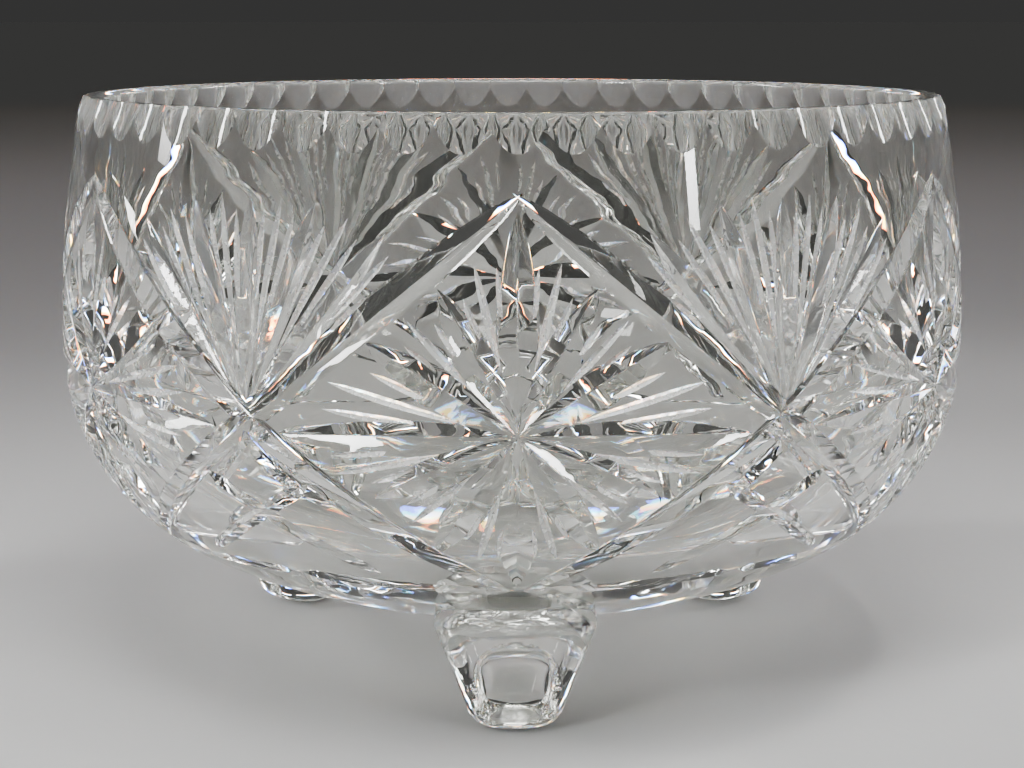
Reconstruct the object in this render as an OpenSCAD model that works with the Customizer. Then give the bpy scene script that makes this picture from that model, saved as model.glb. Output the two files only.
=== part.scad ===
// Footed cut-crystal punch bowl: a thick bowl with a fluted rim and six cut diamonds, on three applied feet.
// Z = 0 is the surface it stands on, the bowl's axis is Z, and the front foot faces -Y.

/* [Bowl] */
// Height from the foot pads to the rim
total_h = 160; // [156:1:170]
// Outer radius at the rim
rim_r = 120; // [118:0.5:122]
// Outer radius at the widest place
wide_r = 127.4; // [126:0.2:128]
// Depth of the widest place below the rim
wide_d = 70; // [66:1:72]
// Radius of the curve that turns the wall under
turn_r = 60; // [56:1:64]
// Wall thickness at the rim
rim_wall = 6; // [5:0.5:7]
// Wall thickness at the widest place
wide_wall = 8.2; // [7.5:0.1:9]
// Depth below the rim of the inside's widest place
inner_wide_d = 66; // [62:1:68]
// Radius of the inside's turn from wall to floor
inner_turn_r = 54; // [50:1:56]

/* [Rim flutes] */
// Number of flutes round the rim
flutes = 60; // [30:6:60]
// How far a flute reaches below the rim
flute_h = 9.3; // [7:0.1:11]
// How deep a flute is at the rim
flute_depth = 2.1; // [1:0.1:2.5]
// Radius of the cutter that makes a flute
flute_cutter_r = 16; // [12:1:20]

/* [Cut diamonds] */
// Number of diamonds round the bowl
diamonds = 6; // [5:1:7]
// Depth below the rim of a diamond's upper point
diamond_top_d = 18.7; // [17:0.1:22]
// Depth below the rim of its side corners
diamond_side_d = 71; // [66:1:74]
// Depth below the rim of its lower point
diamond_low_d = 115; // [106:1:116]
// Depth of the mitre cuts along its edges
mitre_depth = 2.4; // [1:0.1:3]
// Angle between a mitre cut's two faces
mitre_angle = 96; // [80:1:110]

/* [Feet] */
// Number of feet
feet = 3; // [3:1:3]
// Width of a foot at its shoulders
foot_top_w = 41.4; // [38:0.2:44]
// Height of the shoulders above the pad
foot_shoulder_z = 29; // [27:0.5:30]
// Width of the flat pad
foot_pad_w = 9.4; // [8:0.2:12]
// Radius of the rounded corners beside the pad
foot_corner_r = 8; // [6:0.5:9]
// Distance from the bowl's axis to the top of a foot's outer face
foot_out_r = 91.5; // [88:0.5:92]
// Distance from the axis to the bottom of the outer face
foot_out_low_r = 86.5; // [84:0.5:87]
// Distance from the axis to the top of a foot's inner face
foot_in_r = 60; // [58:0.5:64]
// Distance from the axis to the bottom of the inner face
foot_in_low_r = 64; // [62:0.5:66]
// Radius of the pad's rounded front and back edges
foot_edge_r = 6; // [4:0.5:6]
// Radius of the round hollow in the outer face
scoop_r = 18; // [14:0.5:20]
// Depth of that hollow
scoop_depth = 2.8; // [1:0.1:3]
// Height of the hollow's middle above the pad
scoop_z = 14.5; // [13:0.5:16]

/* [Hidden] */
$fn = 96;
glass = [0.86, 0.9, 0.92];
// Slope of the underside where the turn ends
turn_end = 30;
// Slope of the underside where its nearly flat middle begins
middle_start = 6;
// Radius of the underside between those two
under_r = 140;
// Radius of the floor inside, over the same stretch
inner_under_r = 130;
// Steps that a quarter of the wall's arcs is drawn in
arc_steps = 5;
// Steps that a foot's rounded corner is drawn in
corner_steps = 6;
// Where the foot's block ends, inside the bowl's wall
foot_top_z = 36;
pitch = 360 / diamonds;
// How far the upper mitres run on past a diamond's points: degrees round the bowl, and millimetres down it
cross_angle = 1.5;
cross_drop = 3;
// How far the lower mitres stay clear of the side corners
clear_angle = 6;
clear_drop = 9;
// How far they stay clear of the lower point, round the bowl
low_clear_angle = 3;

// Points along an arc round c, from angle a0 to a1, with angle 0 pointing down and 90 outwards
function arc(c, r, a0, a1, n) =
    [for (i = [0:n]) let (a = a0 + (a1 - a0) * i / n) c + r * [sin(a), cos(a)]];

// Outline of a surface in [radius, depth], from the middle of the bottom up to the rim. Five tangent arcs.
function wall_arc_r(r_rim, r_wide, d_wide) =
    (pow(d_wide, 2) + pow(r_wide - r_rim, 2)) / (2 * (r_wide - r_rim));
function outline(r_rim, r_wide, d_wide, r_turn, r_under) =
    let (
        c_turn = [r_wide - r_turn, d_wide],
        c_under = c_turn + (r_turn - r_under) * [sin(turn_end), cos(turn_end)],
        p_mid = c_under + r_under * [sin(middle_start), cos(middle_start)],
        r_mid = p_mid[0] / sin(middle_start),
        c_mid = [0, p_mid[1] - r_mid * cos(middle_start)],
        r_wall = wall_arc_r(r_rim, r_wide, d_wide),
        c_wall = [r_wide - r_wall, d_wide],
        a_rim = 90 + asin(d_wide / r_wall)
    )
    concat(
        arc(c_mid, r_mid, 0, middle_start, 2),
        [for (p = arc(c_under, r_under, middle_start, turn_end, 2 * arc_steps)) if (p != p_mid) p],
        [for (i = [1:2 * arc_steps]) let (a = turn_end + (90 - turn_end) * i / (2 * arc_steps))
            c_turn + r_turn * [sin(a), cos(a)]],
        [for (i = [1:arc_steps]) let (a = 90 + (a_rim - 90) * i / arc_steps)
            c_wall + r_wall * [sin(a), cos(a)]]
    );

outer = outline(rim_r, wide_r, wide_d, turn_r, under_r);
inner = outline(rim_r - rim_wall, wide_r - wide_wall, inner_wide_d, inner_turn_r, inner_under_r);
function reversed(list) = [for (i = [len(list) - 1:-1:0]) list[i]];
function upright(p) = [p[0], total_h - p[1]];

// Radius of the outer surface at depth d, from its two main arcs
wall_r = wall_arc_r(rim_r, wide_r, wide_d);
function surface_r(d) = d < wide_d
    ? wide_r - wall_r + sqrt(pow(wall_r, 2) - pow(wide_d - d, 2))
    : wide_r - turn_r + sqrt(pow(turn_r, 2) - pow(d - wide_d, 2));
// The outward direction of the surface at depth d, as [radial, down]
function surface_out(d) = d < wide_d
    ? [cos(asin((d - wide_d) / wall_r)), (d - wide_d) / wall_r]
    : [cos(asin((d - wide_d) / turn_r)), (d - wide_d) / turn_r];
// A point sunk mm below the surface, at an angle round the bowl from the front and a depth
function on_wall(angle, d, sunk) =
    let (o = surface_out(d), r = surface_r(d) - sunk * o[0])
    [r * sin(angle), -r * cos(angle), total_h - d + sunk * o[1]];

function unit(v) = v / norm(v);

// A V cut whose bottom follows the circle through a, b and c, which lies in the wall
module vee_cut(a, b, c) {
    ab = b - a;
    ac = c - a;
    n = cross(ab, ac);
    centre = a + (cross(n, ab) * (ac * ac) + cross(ac, n) * (ab * ab)) / (2 * (n * n));
    r = norm(a - centre);
    x = unit(a - centre);
    z = unit(n);
    y = cross(z, x);
    sweep = acos(max(-1, min(1, x * unit(c - centre))));
    mouth = 2 * mitre_depth;
    half = mouth * tan(mitre_angle / 2);
    multmatrix([
        [x[0], y[0], z[0], centre[0]],
        [x[1], y[1], z[1], centre[1]],
        [x[2], y[2], z[2], centre[2]],
        [0, 0, 0, 1]
    ])
        rotate_extrude(angle = sweep, $fn = 240)
            polygon([[r, 0], [r + mouth, half], [r + mouth, -half]]);
}

module solid_bowl() {
    rotate_extrude() polygon([for (p = concat(outer, [[0, 0]])) upright(p)]);
}

module blank() {
    rotate_extrude() polygon([for (p = concat(outer, reversed(inner))) upright(p)]);
}

// One rim flute: a round cutter that leans out of the wall as it goes down
module flute() {
    foot_of_flute = surface_r(flute_h);
    lean = atan((foot_of_flute - rim_r + flute_depth) / flute_h);
    reach = 2 * flute_h;
    translate([0, flute_depth - rim_r, total_h])
        rotate([-lean, 0, 0])
            translate([0, -flute_cutter_r, -reach])
                cylinder(r = flute_cutter_r, h = 2 * reach);
}

// The four mitre cuts along a diamond's edges. The upper pair run on past its points, so that they cross
// the next ones. The lower pair stop short of the points.
module mitres(middle) {
    corner = pitch / 2;
    for (s = [-1, 1]) {
        vee_cut(
            on_wall(middle - s * cross_angle, diamond_top_d - cross_drop, mitre_depth),
            on_wall(middle + s * corner / 2, (diamond_top_d + diamond_side_d) / 2, mitre_depth),
            on_wall(middle + s * (corner + cross_angle), diamond_side_d + cross_drop, mitre_depth));
        vee_cut(
            on_wall(middle + s * (corner - clear_angle), diamond_side_d + clear_drop, mitre_depth),
            on_wall(middle + s * corner / 2, (diamond_low_d + diamond_side_d) / 2, mitre_depth),
            on_wall(middle + s * low_clear_angle, diamond_low_d - cross_drop, mitre_depth));
    }
}

module bowl_body() {
    color(glass)
        difference() {
            blank();
            for (i = [0:flutes - 1]) rotate(i * 360 / flutes) flute();
            for (i = [0:diamonds - 1]) mitres(i * pitch);
        }
}

// Points of the rounded corner from a flat base at height 0 up to the tangent through p. c is its centre.
function corner(c, r, p) =
    let (d = p - c, side = d[0] > 0 ? 1 : -1, a1 = atan2(d[1], abs(d[0])) - acos(r / norm(d)))
    [for (i = [0:corner_steps]) let (a = -90 + (a1 + 90) * i / corner_steps)
        c + r * [side * cos(a), sin(a)]];

// The foot seen from the front: straight sides up to the shoulders, and rounded corners beside the pad
module foot_front_outline() {
    shoulder = [foot_top_w / 2, foot_shoulder_z];
    right = corner([foot_pad_w / 2, foot_corner_r], foot_corner_r, shoulder);
    half = concat(right, [shoulder, [shoulder[0], foot_top_z]]);
    polygon(concat(half, [for (p = reversed(half)) [-p[0], p[1]]]));
}

// The foot seen from the side, with distance from the bowl's axis across and height up
module foot_side_outline() {
    out = corner([foot_out_low_r - foot_edge_r, foot_edge_r], foot_edge_r, [foot_out_r, foot_top_z]);
    back = corner([foot_in_low_r + foot_edge_r, foot_edge_r], foot_edge_r, [foot_in_r, foot_top_z]);
    polygon(concat(out, [[foot_out_r, foot_top_z], [foot_in_r, foot_top_z]], reversed(back)));
}

// A block foot at the front: wide at the bowl, narrow at the pad, with a round hollow in its outer face
module foot() {
    face_r = foot_out_low_r + (foot_out_r - foot_out_low_r) * scoop_z / foot_top_z;
    color(glass)
        difference() {
            intersection() {
                rotate([90, 0, 0]) linear_extrude(foot_out_r) foot_front_outline();
                translate([-foot_top_w / 2, 0, 0])
                    rotate([90, 0, 90]) mirror([1, 0, 0]) linear_extrude(foot_top_w) foot_side_outline();
            }
            solid_bowl();
            translate([0, scoop_depth - face_r - scoop_r, scoop_z]) sphere(r = scoop_r);
        }
}

module foot_front() { foot(); }
module foot_rear_left() { rotate(-360 / feet) foot(); }
module foot_rear_right() { rotate(360 / feet) foot(); }

bowl_body();
foot_front();
foot_rear_left();
foot_rear_right();
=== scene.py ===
"""A footed cut-crystal punch bowl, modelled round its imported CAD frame.

The bowl is one closed glass mesh: a revolved wall, with its rim flutes, mitres, stars, fans and bevels
cut out by swept wheels. The feet are lofted blocks with a pressed hollow, and their tops sit just inside
the bowl's wall. Mesh code works in millimetres and is scaled to metres when a mesh is made.
"""
import math

import bmesh
import bpy
import numpy as np
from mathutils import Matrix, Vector
from mathutils.kdtree import KDTree


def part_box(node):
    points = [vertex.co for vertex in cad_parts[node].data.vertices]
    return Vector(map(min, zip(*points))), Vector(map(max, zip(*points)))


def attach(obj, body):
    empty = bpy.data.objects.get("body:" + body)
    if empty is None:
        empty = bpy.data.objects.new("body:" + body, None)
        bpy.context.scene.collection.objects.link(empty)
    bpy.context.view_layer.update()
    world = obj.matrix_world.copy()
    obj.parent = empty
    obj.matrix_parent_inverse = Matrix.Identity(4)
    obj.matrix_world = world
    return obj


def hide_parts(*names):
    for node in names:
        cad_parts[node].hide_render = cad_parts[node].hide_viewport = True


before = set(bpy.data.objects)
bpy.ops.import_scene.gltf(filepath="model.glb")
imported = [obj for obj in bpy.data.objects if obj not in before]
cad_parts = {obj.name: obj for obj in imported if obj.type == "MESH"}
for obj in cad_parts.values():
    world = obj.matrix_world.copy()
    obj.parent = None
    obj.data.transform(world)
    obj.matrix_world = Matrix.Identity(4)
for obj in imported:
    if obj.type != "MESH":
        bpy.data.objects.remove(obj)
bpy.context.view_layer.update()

MM = 0.001
BOWL_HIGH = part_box("bowl_body")[1]
FOOT_LOW, FOOT_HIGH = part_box("foot_front")
TOP_Z = BOWL_HIGH.z / MM
WIDE_R = BOWL_HIGH.x / MM
FOOT_OUT_R = -FOOT_LOW.y / MM
FOOT_W = (FOOT_HIGH.x - FOOT_LOW.x) / MM

# The wall: radii and depths below the rim, as in the CAD
RIM_R = 120.0
RIM_WALL = 6.0
WIDE_D = 70.0
TURN_R = 60.0
UNDER_R = 140.0
WIDE_WALL = 8.2
INNER_WIDE_D = 66.0
INNER_TURN_R = 54.0
INNER_UNDER_R = 130.0
TURN_END = 30.0
MIDDLE_START = 6.0
LIP_R = 1.5
# The revolved wall: how many steps round it, and how far apart its rings are
SEGMENTS = 320
RING_STEP = 3.2

# Edges that bend by more than this many degrees stay sharp
BOWL_CREASE = 17
FOOT_CREASE = 38
# How many surfaces a path of light may cross. Light that is caught in the cuts needs more than Cycles' 12
LIGHT_PATH = 40

# The cut pattern: depths are below the rim
REPEATS = 6
PITCH = 360 / REPEATS
CORNER = PITCH / 2
FLUTES = 60
APEX_D = 18.4
CORNER_D = 71.0
STAR_D = 73.2
LOW_D = 115.0
# A star's petals on its right side, by heading in degrees from straight up, with how far each one reaches
PETALS = {0: 51.5, 28.5: 39.0, 59: 42.0, 91.5: 57.5, 115: 38.5, 147: 38.5, 180: 46.0}
# A fan's leaves, the same way
LEAVES = {0: 51.5, 19.5: 54.0, 39: 57.0}

# The feet: heights above the pads
FOOT_SHOULDER_Z = 29.0
FOOT_TOP_Z = 36.0
FOOT_PAD_W = 9.4
FOOT_CORNER_R = 8.0
FOOT_OUT_LOW_R = 86.5
FOOT_IN_R = 60.0
FOOT_IN_LOW_R = 64.0
FOOT_EDGE_R = 6.0


# ---------------------------------------------------------------- the wall's two surfaces

def arc(centre, radius, start, end, count=300):
    """Rows of radius, depth and outward normal along an arc. Angle 0 points down and 90 outwards."""
    a = np.radians(np.linspace(start, end, count))
    return np.c_[centre[0] + radius * np.sin(a), centre[1] + radius * np.cos(a), np.sin(a), np.cos(a)]


class Surface:
    """One side of the glass as five tangent arcs, measured by the distance s down it from the rim."""

    def __init__(self, rim_r, wide_r, wide_d, turn_r, under_r):
        wall_r = (wide_d ** 2 + (wide_r - rim_r) ** 2) / (2 * (wide_r - rim_r))
        turn = np.radians(TURN_END)
        middle = np.radians(MIDDLE_START)
        turn_c = np.array([wide_r - turn_r, wide_d])
        under_c = turn_c + (turn_r - under_r) * np.array([np.sin(turn), np.cos(turn)])
        edge = under_c + under_r * np.array([np.sin(middle), np.cos(middle)])
        mid_r = edge[0] / np.sin(middle)
        mid_c = (0.0, edge[1] - mid_r * np.cos(middle))
        rim_angle = 90 + np.degrees(np.arcsin(wide_d / wall_r))
        rows = np.concatenate([
            arc((wide_r - wall_r, wide_d), wall_r, rim_angle, 90),
            arc(turn_c, turn_r, 90, TURN_END)[1:],
            arc(under_c, under_r, TURN_END, MIDDLE_START)[1:],
            arc(mid_c, mid_r, MIDDLE_START, 0)[1:],
        ])
        self.r, self.d, self.nr, self.nd = rows.T
        steps = np.hypot(np.diff(self.r), np.diff(self.d))
        self.s = np.concatenate([[0], np.cumsum(steps)])

    def at(self, s):
        """Radius, depth and outward normal at distances s down the wall."""
        return [np.interp(s, self.s, column) for column in (self.r, self.d, self.nr, self.nd)]

    def s_at(self, depth):
        return np.interp(depth, self.d, self.s)

    def points(self, angle, s):
        """Points and outward normals, at angles round the bowl from the front and distances down it."""
        r, d, nr, nd = self.at(s)
        a = np.radians(angle)
        p = np.stack([r * np.sin(a), -r * np.cos(a), TOP_Z - d], axis=-1)
        n = np.stack([nr * np.sin(a), -nr * np.cos(a), -nd], axis=-1)
        return p, n


OUTER = Surface(RIM_R, WIDE_R, WIDE_D, TURN_R, UNDER_R)
INNER = Surface(RIM_R - RIM_WALL, WIDE_R - WIDE_WALL, INNER_WIDE_D, INNER_TURN_R, INNER_UNDER_R)


def wall_rows(step):
    """Radius, depth and outward normal all round the wall.

    The rows run from the middle of the underside, over the lip, to the middle of the inside.
    """
    def stretch(surface, start, end, facing):
        count = round(abs(end - start) / step)
        r, d, nr, nd = surface.at(np.linspace(start, end, count))
        return np.c_[r, d, facing * nr, facing * nd]

    outside = stretch(OUTER, OUTER.s[-1], OUTER.s_at(LIP_R), 1)
    inside = stretch(INNER, INNER.s_at(LIP_R), INNER.s[-1], -1)
    out_c = (outside[-1, 0] - LIP_R, LIP_R)
    in_c = (inside[0, 0] + LIP_R, LIP_R)
    over = [arc(out_c, LIP_R, 90, 180, 6), arc(in_c, LIP_R, 180, 270, 6)]
    return np.concatenate([outside[:-1], *over, inside[1:]])


def mesh_from(name, points, faces, materials=(), index=None):
    """A mesh in metres from points in millimetres."""
    mesh = bpy.data.meshes.new(name)
    mesh.from_pydata((np.asarray(points) * MM).tolist(), [], faces)
    for material in materials:
        mesh.materials.append(material)
    if index is not None:
        mesh.polygons.foreach_set("material_index", np.asarray(index, dtype=np.int32))
    mesh.validate()
    return mesh


def add_object(name, mesh):
    made = bpy.data.objects.new(name, mesh)
    bpy.context.scene.collection.objects.link(made)
    return made


def revolve(outline):
    """A closed solid of revolution from an outline whose two ends lie on the axis."""
    rings = [p for p in outline if p[0] > 1e-6]
    a = np.radians(np.arange(SEGMENTS) * 360 / SEGMENTS)
    points = []
    for r, d in rings:
        points.append(np.stack([r * np.sin(a), -r * np.cos(a), np.full(SEGMENTS, TOP_Z - d)], axis=-1))
    points = np.concatenate(points + [[[0, 0, TOP_Z - outline[0][1]]], [[0, 0, TOP_Z - outline[-1][1]]]])
    first, last = len(points) - 2, len(points) - 1
    faces = []
    for k in range(len(rings) - 1):
        low, high = k * SEGMENTS, (k + 1) * SEGMENTS
        for i in range(SEGMENTS):
            j = (i + 1) % SEGMENTS
            faces.append((low + i, low + j, high + j, high + i))
    end = (len(rings) - 1) * SEGMENTS
    for i in range(SEGMENTS):
        j = (i + 1) % SEGMENTS
        faces.append((first, j, i))
        faces.append((end + i, end + j, last))
    return points, faces


# ---------------------------------------------------------------- cutting wheels

# How far a cutter stands out of the wall, so that it always breaks the surface
LIFT = 0.7
# A polished cut: half the width of its rounded bottom, and the depth of its lip
BLUNT = 0.34
LIP = 0.14
# Twice the wall's mean radius: the wall has fallen away by x * x / FALL at a distance x from a cut
FALL = 180.0
# A cut's ends rise this far above the wall, so that it fades out before it stops
END_LIFT = 0.03


def unit(v):
    return v / np.linalg.norm(v, axis=-1, keepdims=True)


def loft(sections):
    """A closed mesh through rings with the same number of points, with flat ends."""
    count, size = sections.shape[:2]
    faces = []
    for k in range(count - 1):
        for i in range(size):
            j = (i + 1) % size
            faces.append((k * size + i, k * size + j, (k + 1) * size + j, (k + 1) * size + i))
    faces.append(tuple(range(size - 1, -1, -1)))
    faces.append(tuple((count - 1) * size + i for i in range(size)))
    return sections.reshape(-1, 3), faces


def vee(angle, s, depth, half_angle, polished=False):
    """The solid that a V-edged wheel sweeps along the wall, through angles and distances, to given depths.

    A polished cut has a narrow rounding along its bottom and a narrow lip along each edge.
    """
    p, n = OUTER.points(angle, s)
    along = unit(np.gradient(p, axis=0))
    side = unit(np.cross(along, n))
    slope = math.tan(math.radians(half_angle))

    def at(across, height):
        return p + np.asarray(across)[:, None] * side + np.asarray(height)[:, None] * n

    flat, up = np.zeros(len(s)), np.full(len(s), LIFT)
    if not polished:
        half = (depth + LIFT) * slope
        return loft(np.stack([at(flat, -depth), at(-half, up), at(half, up)], axis=1))
    blunt = np.clip(0.3 * depth, 0.0, BLUNT)
    rise = blunt / slope
    lip = np.clip(0.25 * depth, -END_LIFT, LIP) + (depth * slope) ** 2 / FALL
    lip_slope = math.tan(math.radians((90 + half_angle) / 2))
    edge = (depth - lip) * slope
    mouth = edge + (lip + LIFT) * lip_slope
    bottom = at(flat, 0.25 * rise - depth)
    left = [at(-blunt, rise - depth), at(-edge, -lip), at(-mouth, up)]
    right = [at(mouth, up), at(edge, -lip), at(blunt, rise - depth)]
    return loft(np.stack([bottom, *left, *right], axis=1))


def leaf_depth(t, depth, peak=0.5, power=1.0):
    """A wheel's depth along a leaf: nothing at both ends and deepest at the peak."""
    bend = math.log(0.5) / math.log(peak)
    return depth * np.sin(np.pi * np.clip(t, 0, 1) ** bend) ** power - END_LIFT


def ray(angle, s, heading, start, end, depth, half_angle, peak, power, steps=15, polished=False):
    """A leaf cut on a straight ray from a point of the wall. Heading 0 points up, and 90 to the right."""
    t = np.linspace(0, 1, steps)
    out = start + (end - start) * t
    h = math.radians(heading)
    angles = angle + np.degrees(out * math.sin(h) / WIDE_R)
    return vee(angles, s - out * math.cos(h), leaf_depth(t, depth, peak, power), half_angle, polished)


def petals(angle, s, ahead, behind, depth, half_angle=60, power=0.85, steps=14):
    """Two leaves cut in one pass through a star's centre. ahead and behind are (heading, reach) pairs."""
    # Each leaf starts this far along its depth curve, so that the cut has some depth at the star's centre
    middle = 0.07
    t = np.linspace(middle, 1, steps)
    share = (t - middle) / (1 - middle)
    deep = leaf_depth(t, depth, power=power)
    sides = []
    for heading, reach in (ahead, behind):
        h = math.radians(heading)
        sides.append(np.c_[reach * share * math.sin(h), reach * share * math.cos(h), deep])
    across, up, deep = np.concatenate([sides[1][:0:-1], sides[0]]).T
    return vee(angle + np.degrees(across / WIDE_R), s - up, deep, half_angle, polished=True)


def line(a, b, depth, half_angle=52, steps=20):
    """A cut between two (angle, s) places of the wall. depth is a function of the way along."""
    t = np.linspace(0, 1, steps)
    return vee(a[0] + (b[0] - a[0]) * t, a[1] + (b[1] - a[1]) * t, depth(t), half_angle)


def flute(angle):
    """A round cutter that leans out of the wall as it goes down from the rim."""
    depth, reach, cutter_r, half_w = 2.1, 9.3, 16.0, 6.9
    lean = (OUTER.at(OUTER.s_at(reach))[0] - RIM_R + depth) / reach
    edge = math.asin(half_w / cutter_r)
    a = np.linspace(-edge, edge, 13)
    across = np.concatenate([cutter_r * np.sin(a), [half_w, -half_w]])
    inward = np.concatenate([cutter_r * (1 - np.cos(a)), [6.0, 6.0]])
    sections = []
    for d in np.linspace(-2, reach + 3, 4):
        r = RIM_R - depth + lean * d + inward
        sections.append(np.stack([across, -r, np.full(len(r), TOP_Z - d)], axis=-1))
    points, faces = loft(np.array(sections))
    c, s = math.cos(math.radians(angle)), math.sin(math.radians(angle))
    return points @ np.array([[c, s, 0], [-s, c, 0], [0, 0, 1]]), faces


def joined(solids):
    """Several solids as one operand."""
    points, faces, base = [], [], 0
    for p, f in solids:
        points.append(p)
        faces += [tuple(i + base for i in face) for face in f]
        base += len(p)
    return np.concatenate(points), faces


def repeated(make):
    """The same cut in each repeat of the pattern, as one operand. make takes the repeat's middle angle."""
    return joined([make(k * PITCH) for k in range(REPEATS)])


# ---------------------------------------------------------------- the pattern

S_APEX = float(OUTER.s_at(APEX_D))
S_CORNER = float(OUTER.s_at(CORNER_D))
S_STAR = float(OUTER.s_at(STAR_D))
S_LOW = float(OUTER.s_at(LOW_D))
CORNER_MM = math.radians(CORNER) * WIDE_R
# How far past the diamonds' lower points the cuts end
PAST_LOW = 1.0


def edge_length(heading):
    """How far a star's ray runs before it meets the diamond's edge."""
    h = math.radians(heading)
    tall = S_STAR - S_APEX if math.cos(h) > 0 else S_LOW - S_STAR
    return 1 / (abs(math.cos(h)) / tall + abs(math.sin(h)) / CORNER_MM)


def flute_cuts():
    for start in (0, 1):
        yield joined([flute(i * 360 / FLUTES) for i in range(start, FLUTES, 2)])


def mitre_cuts():
    """Each cut runs from a diamond's upper point, through the corner, to the next diamond's lower point."""
    # A cut starts this far above the point, in millimetres, and this many degrees past the middle
    above, past = 0.8, 0.6
    t = np.linspace(0, 1, 44)
    down = np.interp(t, (0, 0.5, 1), (S_APEX - above, S_CORNER, S_LOW + PAST_LOW))
    depth = np.interp(t, (0, 0.04, 0.12, 0.26, 0.4, 0.5, 0.62, 0.82, 0.95, 1),
                      (0, 1.3, 2.4, 3.0, 2.8, 2.4, 2.5, 2.3, 1.2, 0)) - END_LIFT
    for side in (-1, 1):
        yield repeated(lambda m: vee(m + side * (PITCH * t - past), down, depth, 54, polished=True))


def star_cuts():
    """Six cuts through each star's centre, at three slightly different depths."""
    headings = list(PETALS)
    yield repeated(lambda m: petals(m, S_STAR, (0, PETALS[0]), (180, PETALS[180]), 2.8))
    for side in (-1, 1):
        for up, low in zip(headings[1:3], headings[5:3:-1]):
            ahead, behind = (side * up, PETALS[up]), (-side * low, PETALS[low])
            yield repeated(lambda m: petals(m, S_STAR, ahead, behind, 2.75))
    yield repeated(lambda m: petals(m, S_STAR, (91.5, PETALS[91.5]), (-91.5, PETALS[91.5]), 2.7))


def needle(angle, s, heading, start, end):
    """A fine ray, ground and left unpolished."""
    return ray(angle, s, heading, start, end, depth=0.75, half_angle=54, peak=0.6, power=0.6, steps=9)


def fine_star_cuts():
    """Three needles between each pair of neighbouring petals."""
    rays = []
    headings = list(PETALS)
    for low, high in zip(headings[:-1], headings[1:]):
        for step, share in ((0.25, 0.86), (0.5, 0.97), (0.75, 0.86)):
            heading = low + (high - low) * step
            for side in (-1, 1):
                rays.append((side * heading, 9.5, share * (edge_length(heading) - 4.2)))
    yield repeated(lambda m: joined([needle(m, S_STAR, *place) for place in rays]))


def fan_cuts():
    for heading, reach in LEAVES.items():
        for side in ((-1, 1) if heading else (1,)):
            yield repeated(lambda m: ray(m + CORNER, S_CORNER, side * heading, 3.0, reach, depth=2.2,
                                         half_angle=57, peak=0.56, power=0.85, polished=True))


def fine_fan_cuts():
    rays = []
    for low, high in ((0, 19.5), (19.5, 39)):
        for step, share in ((0.25, 0.93), (0.5, 0.99), (0.75, 0.93)):
            heading = low + (high - low) * step
            rays.append((heading, 15, share * (52 + 0.11 * heading)))
    rays += [(43.2, 22, 54), (47.0, 24, 44)]
    both = [(side * h, a, b) for h, a, b in rays for side in (-1, 1)]
    yield repeated(lambda m: joined([needle(m + CORNER, S_CORNER, *place) for place in both]))


def skirt_cuts():
    """The crossing cuts below each corner: a small diamond, a kite under it and long lines to the edge."""
    def even(t):
        return 1.6 * np.clip(t / 0.1, 0, 1) ** 0.6 * np.clip((1 - t) / 0.12, 0, 1) ** 0.6 - END_LIFT

    s_start, s_kite = float(OUTER.s_at(72.6)), float(OUTER.s_at(90.5))
    s_side, s_end = float(OUTER.s_at(86.4)), float(OUTER.s_at(111))
    for side in (-1, 1):
        yield repeated(lambda m: line((m + CORNER + side * 2.4, s_start),
                                      (m + CORNER - side * 6.2, s_kite), even))
        yield repeated(lambda m: line((m + CORNER + side * 7.0, s_side),
                                      (m + CORNER - side * 13.0, s_end), even))


def edge_cuts():
    """Long flat bevels round the lower edge of the cut wall, highest between the diamonds."""
    span, gap, rise = PITCH / 2, 0.6, 2.6

    def flat(t):
        return 1.1 * np.clip(np.minimum(t, 1 - t) / 0.04, 0, 1) ** 0.5 - END_LIFT

    def end(k, inset):
        return k * span + inset, S_LOW + PAST_LOW - rise * (k % 2)

    for parity in (0, 1):
        yield joined([line(end(k, gap), end(k + 1, -gap), flat, 64, 16)
                      for k in range(parity, 2 * REPEATS, 2)])


# ---------------------------------------------------------------- the feet

def taper(z, flat, radius, top, top_z):
    """How far out a side is at height z: a rounded corner beside a flat base, then straight to the top."""
    across, up = top - flat, top_z - radius
    turn = math.atan2(up, across) - math.acos(radius / math.hypot(across, up))
    x1, z1 = flat + radius * math.cos(turn), radius * (1 + math.sin(turn))
    rounded = flat + np.sqrt(np.maximum(0, radius ** 2 - (radius - np.minimum(z, z1)) ** 2))
    return np.where(z < z1, rounded, x1 + (top - x1) * (z - z1) / (top_z - z1))


def hollow(x, z):
    """Depth of the pressed hollow in a foot's outer face: an arch with a steep rim, open towards the pad."""
    half_w, spring_z, rise, rim = 10.2, 18.2, 7.2, 0.12
    up = np.maximum(0, z - spring_z) / rise
    rho = np.hypot(x / half_w, up)
    step = np.clip((1 - rho) / rim, 0, 1)
    step = step * step * (3 - 2 * step)
    fade = np.clip((z - 2.0) / 9.0, 0, 1)
    bowl = 2.7 * np.clip(1 - rho ** 2, 0, 1)
    return (1.5 * step + bowl) * fade * fade * (3 - 2 * fade)


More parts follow.
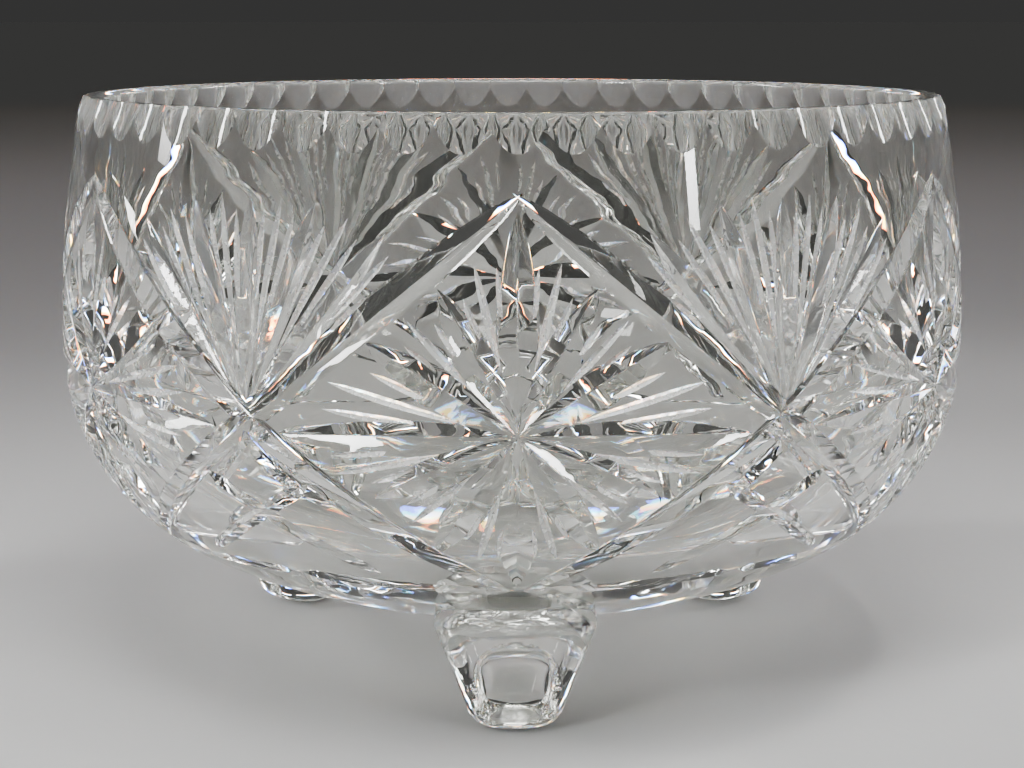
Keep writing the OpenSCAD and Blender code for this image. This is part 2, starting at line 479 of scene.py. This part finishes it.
def foot_ring(half_w, out_r, in_r):
    """A foot's level section: a rounded rectangle, anticlockwise from the left end of its outer face."""
    half_d = (out_r - in_r) / 2
    front, back = min(5.0, 0.7 * half_w, 0.8 * half_d), min(9.0, 0.9 * half_w, 0.9 * half_d)
    quarter = np.radians(np.linspace(0, 90, 8))
    corners = []
    turns = ((front, 1, -1, -90), (back, 1, 1, 0), (back, -1, 1, 90), (front, -1, -1, 180))
    for radius, sx, sy, turn in turns:
        centre = np.array([sx * (half_w - radius), -(out_r + in_r) / 2 + sy * (half_d - radius)])
        a = quarter + math.radians(turn)
        corners.append(centre + radius * np.c_[np.cos(a), np.sin(a)])
    sides = [(corners[3][-1], corners[0][0], 48), (corners[0][-1], corners[1][0], 10),
             (corners[1][-1], corners[2][0], 20), (corners[2][-1], corners[3][0], 10)]
    ring = []
    for (start, end, count), corner in zip(sides, corners):
        t = np.linspace(0, 1, count, endpoint=False)[1:, None]
        ring += [start + (end - start) * t, corner]
    return np.concatenate(ring)


def foot_solid():
    """The front foot as a block that runs up into the bowl."""
    low = FOOT_CORNER_R * (1 - np.cos(np.linspace(0, math.pi / 2, 9)))
    heights = np.concatenate([low, np.arange(9, 34, 0.6), np.arange(34, 41, 1.5)])
    widths = taper(heights, FOOT_PAD_W / 2, FOOT_CORNER_R, FOOT_W / 2, FOOT_SHOULDER_Z)
    # Above the shoulders the sides curve back in
    curve_z, curve = 30.5, 0.16
    shoulder = np.minimum(widths, FOOT_W / 2) - curve * np.maximum(0, heights - curve_z) ** 2
    out_r = taper(heights, FOOT_OUT_LOW_R - FOOT_EDGE_R, FOOT_EDGE_R, FOOT_OUT_R, FOOT_TOP_Z)
    in_edge = FOOT_IN_LOW_R + FOOT_EDGE_R
    in_r = 2 * in_edge - taper(heights, in_edge, FOOT_EDGE_R, 2 * in_edge - FOOT_IN_R, FOOT_TOP_Z)
    rings = []
    for z, half_w, out, inner in zip(heights, shoulder, np.minimum(out_r, FOOT_OUT_R), in_r):
        ring = foot_ring(half_w, out, inner)
        facing = np.clip((-ring[:, 1] - inner) / (out - inner), 0, 1) ** 8
        ring[:, 1] += hollow(ring[:, 0], z) * facing
        rings.append(np.c_[ring, np.full(len(ring), z)])
    return loft(np.array(rings))


def inside_wall(sunk):
    """A solid just inside the bowl's outer skin. It trims the feet, so that no film of air is left."""
    top_d = 60.0
    r, d, nr, nd = OUTER.at(np.linspace(OUTER.s[-1], OUTER.s_at(top_d), 60))
    rows = np.c_[r - sunk * nr, d - sunk * nd]
    return revolve(np.concatenate([rows, [[0.0, rows[-1, 1]]]]))


# ---------------------------------------------------------------- booleans and normals

def operand(name, solid, material):
    points, faces = solid
    made = add_object(name, mesh_from(name, points, faces, [material]))
    made.hide_render = True
    return made


def carve(target, operands):
    """Cuts each operand out of the target in turn and keeps the result as the target's own mesh."""
    for k, tool in enumerate(operands):
        cut = target.modifiers.new(f"cut_{k}", "BOOLEAN")
        cut.operation = "DIFFERENCE"
        cut.solver = "MANIFOLD"
        cut.object = tool
        cut.material_mode = "TRANSFER"
    depsgraph = bpy.context.evaluated_depsgraph_get()
    result = bpy.data.meshes.new_from_object(target.evaluated_get(depsgraph), depsgraph=depsgraph)
    target.modifiers.clear()
    old = target.data
    target.data = result
    bpy.data.meshes.remove(old)
    for tool in operands:
        mesh = tool.data
        bpy.data.objects.remove(tool)
        bpy.data.meshes.remove(mesh)


def mesh_array(items, attribute, width, kind=np.float64):
    out = np.empty(len(items) * width, dtype=kind)
    items.foreach_get(attribute, out)
    return out.reshape(-1, width) if width > 1 else out


def sharpen(mesh, angle):
    """Marks as sharp every edge that bends by more than an angle, or that parts two materials."""
    bm = bmesh.new()
    bm.from_mesh(mesh)
    limit = math.radians(angle)
    for edge in bm.edges:
        faces = edge.link_faces
        edge.smooth = (len(faces) == 2 and faces[0].material_index == faces[1].material_index
                       and faces[0].normal.angle(faces[1].normal, math.pi) < limit)
    for face in bm.faces:
        face.smooth = True
    bm.to_mesh(mesh)
    bm.free()


def smooth_skin(mesh):
    """Gives the uncut skin the wall's true normals, so that its facets don't show through the glass."""
    rows = wall_rows(0.5)
    tree = KDTree(len(rows))
    for k, row in enumerate(rows):
        tree.insert((row[0], row[1], 0), k)
    tree.balance()
    points = mesh_array(mesh.vertices, "co", 3) / MM
    r = np.maximum(np.hypot(points[:, 0], points[:, 1]), 1e-6)
    nearest = [tree.find((a, b, 0))[1] for a, b in zip(r, TOP_Z - points[:, 2])]
    nr, nd = rows[nearest, 2:].T
    true = np.c_[nr * points[:, 0] / r, nr * points[:, 1] / r, -nd]
    vertex = mesh_array(mesh.loops, "vertex_index", 1, np.int32)
    slots = np.repeat(mesh_array(mesh.polygons, "material_index", 1, np.int32),
                      mesh_array(mesh.polygons, "loop_total", 1, np.int32))
    normals = mesh_array(mesh.corner_normals, "vector", 3)
    skin = slots < len(BOWL_SLOTS)
    normals[skin] = true[vertex[skin]]
    mesh.normals_split_custom_set(normals.tolist())


# ---------------------------------------------------------------- materials

def new_material(name):
    material = bpy.data.materials.new(name)
    material.use_nodes = True
    return material, material.node_tree.nodes, material.node_tree.links


def noise(nodes, links, scale, detail, squeeze=1.0):
    """Noise over the object's own coordinates. A squeeze above 1 packs it closer together vertically."""
    place = nodes.new("ShaderNodeTexCoord")
    pack = nodes.new("ShaderNodeMapping")
    pack.inputs["Scale"].default_value = (1, 1, squeeze)
    made = nodes.new("ShaderNodeTexNoise")
    made.inputs["Scale"].default_value = scale
    made.inputs["Detail"].default_value = detail
    links.new(place.outputs["Object"], pack.inputs["Vector"])
    links.new(pack.outputs["Vector"], made.inputs["Vector"])
    return made


def bump(nodes, links, height, amplitude, shader):
    """Amplitude is the full height of the relief, in millimetres."""
    made = nodes.new("ShaderNodeBump")
    made.inputs["Strength"].default_value = 1.0
    made.inputs["Distance"].default_value = amplitude * MM
    links.new(height, made.inputs["Height"])
    links.new(made.outputs["Normal"], shader.inputs["Normal"])


def remap(nodes, links, value, source, target):
    made = nodes.new("ShaderNodeMapRange")
    made.inputs["From Min"].default_value, made.inputs["From Max"].default_value = source
    made.inputs["To Min"].default_value, made.inputs["To Max"].default_value = target
    links.new(value, made.inputs["Value"])
    return made.outputs["Result"]


def glass(name, scale, relief, smooth, dull, squeeze=1.0, clear=1.0):
    """Clear crystal. Its relief is in millimetres, and its roughness wanders from smooth to dull.

    Ground glass is less than fully clear, and scatters the rest of the light back.
    """
    material, nodes, links = new_material(name)
    shader = nodes["Principled BSDF"]
    shader.inputs["Base Color"].default_value = GLASS_TINT
    shader.inputs["Transmission Weight"].default_value = clear
    shader.inputs["IOR"].default_value = 1.545
    ripple = noise(nodes, links, scale, 2.0, squeeze)
    bump(nodes, links, ripple.outputs["Fac"], relief, shader)
    wander = remap(nodes, links, ripple.outputs["Fac"], (0.35, 0.7), (smooth, dull))
    links.new(wander, shader.inputs["Roughness"])
    return material


def foot_glass():
    """Pressed crystal, wavy all over, and ground dull and mottled beside the pad."""
    material = glass("crystal_foot", 70, 0.5, 0.0, 0.02)
    nodes, links = material.node_tree.nodes, material.node_tree.links
    shader = nodes["Principled BSDF"]
    polish = shader.inputs["Roughness"].links[0].from_socket
    place = nodes.new("ShaderNodeTexCoord")
    split = nodes.new("ShaderNodeSeparateXYZ")
    links.new(place.outputs["Object"], split.inputs["Vector"])
    grain = nodes.new("ShaderNodeTexVoronoi")
    grain.inputs["Scale"].default_value = 520
    links.new(place.outputs["Object"], grain.inputs["Vector"])
    low = remap(nodes, links, split.outputs["Z"], (0.0012, 0.0), (0.0, 1.0))
    ground = nodes.new("ShaderNodeMath")
    ground.operation = "MULTIPLY_ADD"
    links.new(low, ground.inputs[0])
    links.new(remap(nodes, links, grain.outputs["Distance"], (0.0, 0.8), (0.25, 0.6)), ground.inputs[1])
    links.new(polish, ground.inputs[2])
    links.new(ground.outputs["Value"], shader.inputs["Roughness"])
    return material


def floor_material():
    material, nodes, links = new_material("floor")
    shader = nodes["Principled BSDF"]
    shader.inputs["Base Color"].default_value = (0.68, 0.68, 0.67, 1)
    shader.inputs["Specular IOR Level"].default_value = 0.2
    grain = noise(nodes, links, 300, 2.0)
    bump(nodes, links, grain.outputs["Fac"], 0.05, shader)
    links.new(remap(nodes, links, grain.outputs["Fac"], (0.3, 0.7), (0.7, 0.85)), shader.inputs["Roughness"])
    return material


GLASS_TINT = (0.976, 0.982, 0.957, 1)
SKIN = glass("crystal_skin", 16, 0.16, 0.0, 0.01)
INSIDE = glass("crystal_inside", 24, 0.22, 0.0, 0.01, 3.0)
CUT = glass("crystal_cut", 120, 0.04, 0.0, 0.012)
FINE = glass("crystal_fine_cut", 500, 0.04, 0.15, 0.4, clear=0.55)
FLUTE = glass("crystal_flute", 230, 0.11, 0.0, 0.01, squeeze=0.2)
LEAF = glass("crystal_leaf", 260, 0.05, 0.0, 0.1, clear=0.8)
FOOT = foot_glass()
BOWL_SLOTS = [SKIN, INSIDE]


# ---------------------------------------------------------------- the pieces

def make_bowl():
    rows = wall_rows(RING_STEP)
    points, faces = revolve(rows[:, :2])
    radius = np.hypot(points[:, 0], points[:, 1])
    facing_in = radius < np.interp(TOP_Z - points[:, 2], OUTER.d, OUTER.r) - 0.6 * RIM_WALL
    inside = [int(all(facing_in[i] for i in face)) for face in faces]
    bowl = add_object("bowl", mesh_from("bowl", points, faces, BOWL_SLOTS, inside))
    tools = []
    for label, cuts, material in (
        ("flute", flute_cuts, FLUTE), ("mitre", mitre_cuts, CUT), ("fine_star", fine_star_cuts, FINE),
        ("fine_fan", fine_fan_cuts, FINE), ("star", star_cuts, CUT), ("fan", fan_cuts, LEAF),
        ("skirt", skirt_cuts, CUT), ("edge", edge_cuts, CUT),
    ):
        for k, solid in enumerate(cuts()):
            tools.append(operand(f"{label}_{k}", solid, material))
    carve(bowl, tools)
    sharpen(bowl.data, BOWL_CREASE)
    smooth_skin(bowl.data)
    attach(bowl, "root")
    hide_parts("bowl_body")


def make_feet():
    points, faces = foot_solid()
    for name, node, turn in (("front_foot", "foot_front", 0), ("left_foot", "foot_rear_left", -120),
                             ("right_foot", "foot_rear_right", 120)):
        a = math.radians(turn)
        c, s = math.cos(a), math.sin(a)
        turned = points @ np.array([[c, s, 0], [-s, c, 0], [0, 0, 1]])
        foot = add_object(name, mesh_from(name, turned, faces, [FOOT]))
        carve(foot, [operand("trim", inside_wall(sunk=0.5), FOOT)])
        sharpen(foot.data, FOOT_CREASE)
        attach(foot, "root")
        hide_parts(node)


def make_floor():
    """A pale floor, a hair below the pads, so that light still passes between them."""
    size, drop = 40000, 0.3
    corners = [(-size, -size), (size, -size), (size, size), (-size, size)]
    mesh = mesh_from("floor", [(x, y, -drop) for x, y in corners], [(0, 1, 2, 3)], [floor_material()])
    floor = add_object("floor", mesh)


def area_light(name, place, aim, size, radiance, colour=(1, 1, 1), shift=(0, 0), spread=math.pi):
    """A soft panel, as bright as its radiance. shift moves it in its own plane, sideways and up.

    Blender keeps a lamp's power as its spread narrows, so the power is cut to keep its radiance.
    """
    data = bpy.data.lights.new(name, "AREA")
    data.shape = "RECTANGLE"
    data.size, data.size_y = size
    kept = 1 - spread / 2 / math.tan(spread / 2)
    data.spread = spread
    data.energy = radiance * math.pi * size[0] * size[1] * kept
    data.color = colour
    lamp = bpy.data.objects.new(name, data)
    turn = (Vector(aim) - Vector(place)).to_track_quat("-Z", "Y")
    lamp.location = Vector(place) + turn @ Vector((*shift, 0))
    lamp.rotation_euler = turn.to_euler()
    bpy.context.scene.collection.objects.link(lamp)


def spectrum_bar(name, azimuth, elevation, thickness):
    """A long thin white lamp with a warm and a cool edge, which the cuts break into bands of colour."""
    a, e = math.radians(azimuth), math.radians(elevation)
    place = BAR_DISTANCE * Vector((math.sin(a) * math.cos(e), math.cos(a) * math.cos(e), math.sin(e)))
    bands = ((1.0, 0.26, 0.1), (1.0, 0.78, 0.2), (1, 1, 1), (0.2, 0.78, 1.0), (0.16, 0.24, 1.0))
    shares = (1.5, 1.5, 3, 1.5, 1.5)
    thin = BAR_DISTANCE * thickness / sum(shares)
    low = -sum(shares) / 2
    for k, (colour, share) in enumerate(zip(bands, shares)):
        size = (BAR_DISTANCE * BAR_LENGTH, thin * share)
        shift = (0, thin * (low + share / 2))
        area_light(f"{name}_{k}", place, MIDDLE, size, BAR_RADIANCE, colour, shift, BAR_SPREAD)
        low += share


# Each bar's azimuth, elevation and thickness, in degrees and as a share of its distance
BARS = [(azimuth, 12, 0.05) for azimuth in (-60, -30, 0, 30, 60)]
BARS += [(azimuth, 25, 0.04) for azimuth in (-45, -15, 15, 45)]
BAR_DISTANCE = 6.0
BAR_LENGTH = 0.36
BAR_RADIANCE = 14
BAR_SPREAD = math.radians(32)
# The near lamps: name, place, size and radiance. A narrow spread keeps them off the far floor
LAMPS = [
    ("glint", (0.35, -0.25, 1.3), (0.12, 0.12), 34),
    ("front", (-0.9, -1.2, 0.9), (0.26, 0.26), 32),
    ("front_right", (1.0, -1.1, 0.6), (0.07, 0.6), 32),
    ("left", (-1.4, 0.1, 0.7), (0.12, 0.8), 24),
    ("right", (1.3, 0.5, 0.75), (0.12, 0.8), 24),
]
LAMP_SPREAD = math.radians(44)
MIDDLE = (0, 0, 0.08)


def make_lights():
    """A soft key over the front of the floor, near lamps for glints, and far bars that the cuts break up."""
    area_light("key", (0.0, -0.42, 0.72), (0, -0.2, 0), (0.36, 0.36), 5.0)
    for name, place, size, radiance in LAMPS:
        area_light(name, place, MIDDLE, size, radiance, spread=LAMP_SPREAD)
    for k, (azimuth, elevation, thickness) in enumerate(BARS):
        spectrum_bar(f"bar_{k}", azimuth, elevation, thickness)


def make_world():
    """Dim grey surroundings, a little lighter overhead."""
    world = bpy.data.worlds.new("studio")
    bpy.context.scene.world = world
    world.use_nodes = True
    nodes, links = world.node_tree.nodes, world.node_tree.links
    place = nodes.new("ShaderNodeTexCoord")
    split = nodes.new("ShaderNodeSeparateXYZ")
    links.new(place.outputs["Generated"], split.inputs["Vector"])
    links.new(remap(nodes, links, split.outputs["Z"], (0.0, 0.8), (0.055, 0.09)),
              nodes["Background"].inputs["Strength"])
    nodes["Background"].inputs["Color"].default_value = (1, 1, 0.99, 1)


def set_view():
    """The tone of the picture, and paths long enough for light to get out of the glass."""
    scene = bpy.context.scene
    scene.view_settings.look = "AgX - High Contrast"
    scene.view_settings.exposure = 0.15
    scene.cycles.max_bounces = LIGHT_PATH
    scene.cycles.transmission_bounces = LIGHT_PATH
    scene.cycles.glossy_bounces = LIGHT_PATH


def make_camera():
    """A camera a little above the rim, in front, looking down at the bowl."""
    distance, drop, pitch, azimuth = 0.564, 0.022, 10.7, -0.6
    data = bpy.data.cameras.new("camera")
    data.sensor_width = 36
    data.lens = 69
    camera = bpy.data.objects.new("camera", data)
    a = math.radians(azimuth)
    camera.location = (distance * math.sin(a), -distance * math.cos(a), TOP_Z * MM + drop)
    camera.rotation_euler = (math.radians(90 - pitch), 0, a)
    bpy.context.scene.collection.objects.link(camera)
    bpy.context.scene.camera = camera


make_camera()
make_lights()
make_world()
set_view()
make_floor()
make_bowl()
make_feet()
